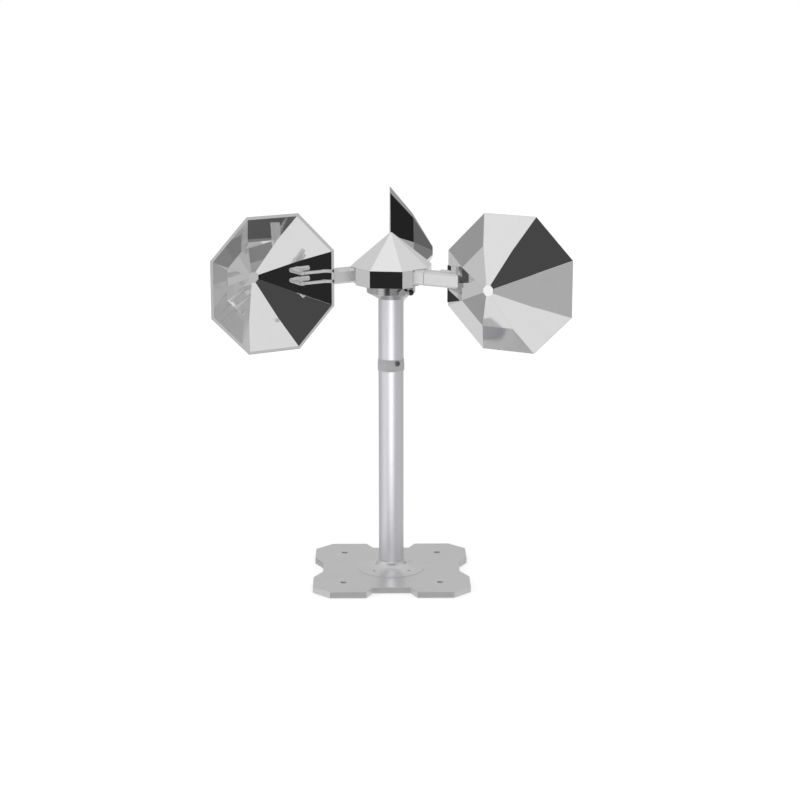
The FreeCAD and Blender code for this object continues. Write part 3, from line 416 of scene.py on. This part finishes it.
# Studio panels that the mirror facets pick up. Azimuth 0 is towards the camera and positive to its right.
# Each row: name, azimuth from and to, elevation from and to, width of the soft border (all in degrees),
# brightness. Later panels lie over earlier ones.
STUDIO_LIGHT = 0.78
PANELS = (
    ("overhead light", (-200, 200), (72, 95), 4, 0.87),
    ("left soft light", (-115, -50), (38, 72), 4, 0.82),
    ("right soft light", (50, 105), (38, 72), 4, 0.77),
    ("right back light", (105, 200), (30, 72), 4, 0.73),
    ("left back light", (-200, -115), (28, 72), 4, 0.67),
    ("dark ceiling over the camera", (-28, 30), (27, 56), 3, 0.068),
    ("dark ceiling's right end", (30, 42), (24, 36), 3, 0.10),
    ("white card on the left", (-84, -34), (-30, 20), 4, 1.0),
    ("left horizon", (-114, -88), (-22, 30), 4, 0.58),
    ("left back wall", (-150, -116), (4, 28), 4, 0.34),
    ("low left back wall", (-150, -116), (-20, 4), 4, 0.56),
    ("low left light", (-165, -134), (-50, -24), 4, 0.69),
    ("low left board", (-134, -110), (-50, -24), 4, 0.35),
    ("right front card", (47, 63), (-42, 26), 4, 0.55),
    ("right card", (63, 94), (-30, 26), 4, 0.63),
    ("right upper board", (78, 92), (31, 45), 4, 0.50),
    ("grey card right of the camera", (4, 40), (-14, -3), 2, 0.45),
    ("upper grey card", (26, 47), (10, 26), 3, 0.43),
    ("small dark card", (38, 48), (-2, 9), 2, 0.22),
    ("dark card over the camera", (14, 26), (9, 25), 3, 0.09),
    ("low dark board", (0, 28), (-24, -14), 2, 0.05),
    ("low grey board", (25, 50), (-46, -22), 2, 0.22),
    ("floor shadow on the right", (26, 42), (-70, -56), 3, 0.08),
    ("small floor shadow", (21, 30), (-58, -50), 2, 0.08),
    ("black flag beside the camera", (-32, -4), (-26, 5), 2, 0.022),
    ("right board", (94, 106), (-15, 2), 3, 0.39),
    ("right back board", (106, 125), (-15, 2), 3, 0.21),
    ("black doorway behind", (108, 128), (10, 30), 3, 0.018),
    ("grey doorway behind", (128, 146), (2, 18), 3, 0.13),
    ("back wall", (150, 200), (2, 34), 6, 0.60),
    ("back wall, left part", (-200, -160), (2, 34), 6, 0.60),
    ("grey wall behind", (166, 179), (-9, 2), 3, 0.32),
)

# What a ray meets after two facets: broader, softer panels, since the facets blur what they show of each other.
# After three facets or more it meets one even tone.
TWICE_MIRRORED_LIGHT = 0.62
TWICE_MIRRORED_PANELS = (
    ("grey wall beside the camera", (27, 46), (-22, 34), 6, 0.43),
    ("grey wall on the right", (46, 62), (12, 30), 5, 0.48),
    ("dark card", (37, 51), (-6, 9), 5, 0.22),
    ("low grey wall", (47, 62), (-44, -20), 5, 0.53),
    ("low dark grey wall", (24, 47), (-46, -25), 5, 0.21),
    ("dark front", (0, 29), (-23, 4), 4, 0.065),
    ("dark floor", (18, 46), (-74, -52), 5, 0.065),
)
MANY_TIMES_MIRRORED_LIGHT = 0.52
WORLD_DEPTH_AFTER_TWO = 3    # the renderer's ray depth in the world after two facets


def sky_angles(tree):
    """Azimuth, 0 towards the camera and positive to the right, and elevation of a world ray, in degrees."""
    direction = add_node(tree, "ShaderNodeTexCoord").outputs["Generated"]
    split = add_node(tree, "ShaderNodeSeparateXYZ", {"Vector": direction}).outputs
    towards_camera = maths(tree, "MULTIPLY", split["Y"], -1.0)
    azimuth = maths(tree, "DEGREES", maths(tree, "ARCTAN2", split["X"], towards_camera))
    elevation = maths(tree, "DEGREES", maths(tree, "ARCSINE", split["Z"]))
    return azimuth, elevation


def between(tree, value, low, high, border):
    """1 between low and high, with soft borders."""
    soft = border / 2
    above = smooth_range(tree, value, low - soft, low + soft)
    below = smooth_range(tree, value, high + soft, high - soft)
    return maths(tree, "MULTIPLY", above, below)


def panel_tone(tree, angles, light, panels):
    """Grey of a world ray: the even light with the panels laid over it in turn."""
    azimuth, elevation = angles
    tone = grey(light)
    for _name, (left, right), (low, high), border, brightness in panels:
        across = between(tree, azimuth, left, right, border)
        upright = between(tree, elevation, low, high, border)
        share = maths(tree, "MULTIPLY", across, upright)
        tone = blend_colours(tree, share, tone, grey(brightness))
    return tone


def add_world():
    """A pale studio whose panels only show in the object; the camera sees plain white."""
    world = bpy.data.worlds.new("studio")
    bpy.context.scene.world = world
    world.use_nodes = True
    tree = world.node_tree
    tree.nodes.clear()
    angles = sky_angles(tree)
    path = add_node(tree, "ShaderNodeLightPath").outputs
    tone = panel_tone(tree, angles, STUDIO_LIGHT, PANELS)
    twice = panel_tone(tree, angles, TWICE_MIRRORED_LIGHT, TWICE_MIRRORED_PANELS)
    is_second = maths(tree, "GREATER_THAN", path["Ray Depth"], WORLD_DEPTH_AFTER_TWO - 0.5)
    is_third = maths(tree, "GREATER_THAN", path["Ray Depth"], WORLD_DEPTH_AFTER_TWO + 0.5)
    tone = blend_colours(tree, is_second, tone, twice)
    tone = blend_colours(tree, is_third, tone, grey(MANY_TIMES_MIRRORED_LIGHT))
    colour = blend_colours(tree, path["Is Camera Ray"], tone, grey(1.0))
    background = add_node(tree, "ShaderNodeBackground", {"Color": colour, "Strength": 1.0})
    output = add_node(tree, "ShaderNodeOutputWorld")
    tree.links.new(background.outputs[0], output.inputs["Surface"])


POLE_LAMP_PLACE = Vector((-0.004, -0.26, 0.16))
POLE_LAMP_WIDE = 0.19
POLE_LAMP_HIGH = 0.31
POLE_LAMP_POWER = 0.31
TUBES = ("lower_tube", "upper_tube")


def add_pole_lamp():
    """A soft box in front of the pole, linked to the tubes alone so that it doesn't show in the mirrors."""
    light = bpy.data.lights.new("pole_lamp", "AREA")
    light.shape = "RECTANGLE"
    light.size = POLE_LAMP_WIDE
    light.size_y = POLE_LAMP_HIGH
    light.energy = POLE_LAMP_POWER
    lamp = bpy.data.objects.new("pole_lamp", light)
    lamp.location = POLE_LAMP_PLACE
    lamp.rotation_euler = (math.radians(90), 0, 0)
    lamp.visible_camera = False
    bpy.context.scene.collection.objects.link(lamp)
    lit = bpy.data.collections.new("lit_by_pole_lamp")
    for name in TUBES:
        lit.objects.link(NODES[name])
    lamp.light_linking.receiver_collection = lit
    return lamp


# The camera stands in front of the rotor and looks down a little.
CAMERA_FROM_ROTOR = Vector((-0.0164, -1.8736, 0.3178))
CAMERA_LENS = 87.07
CAMERA_SENSOR = 36.0
CAMERA_PITCH = math.radians(-13.40)
CAMERA_YAW = math.radians(-0.773)


def add_camera():
    data = bpy.data.cameras.new("camera")
    data.lens = CAMERA_LENS
    data.sensor_width = CAMERA_SENSOR
    data.clip_end = 100.0
    camera = bpy.data.objects.new("camera", data)
    camera.location = ROTOR_CENTRE + CAMERA_FROM_ROTOR
    camera.rotation_euler = (math.radians(90) + CAMERA_PITCH, 0.0, CAMERA_YAW)
    bpy.context.scene.collection.objects.link(camera)
    bpy.context.scene.camera = camera


def set_colour_view():
    scene = bpy.context.scene
    scene.view_settings.view_transform = "Standard"


dress_nodes()
add_floor()
add_world()
add_pole_lamp()
add_camera()
set_colour_view()
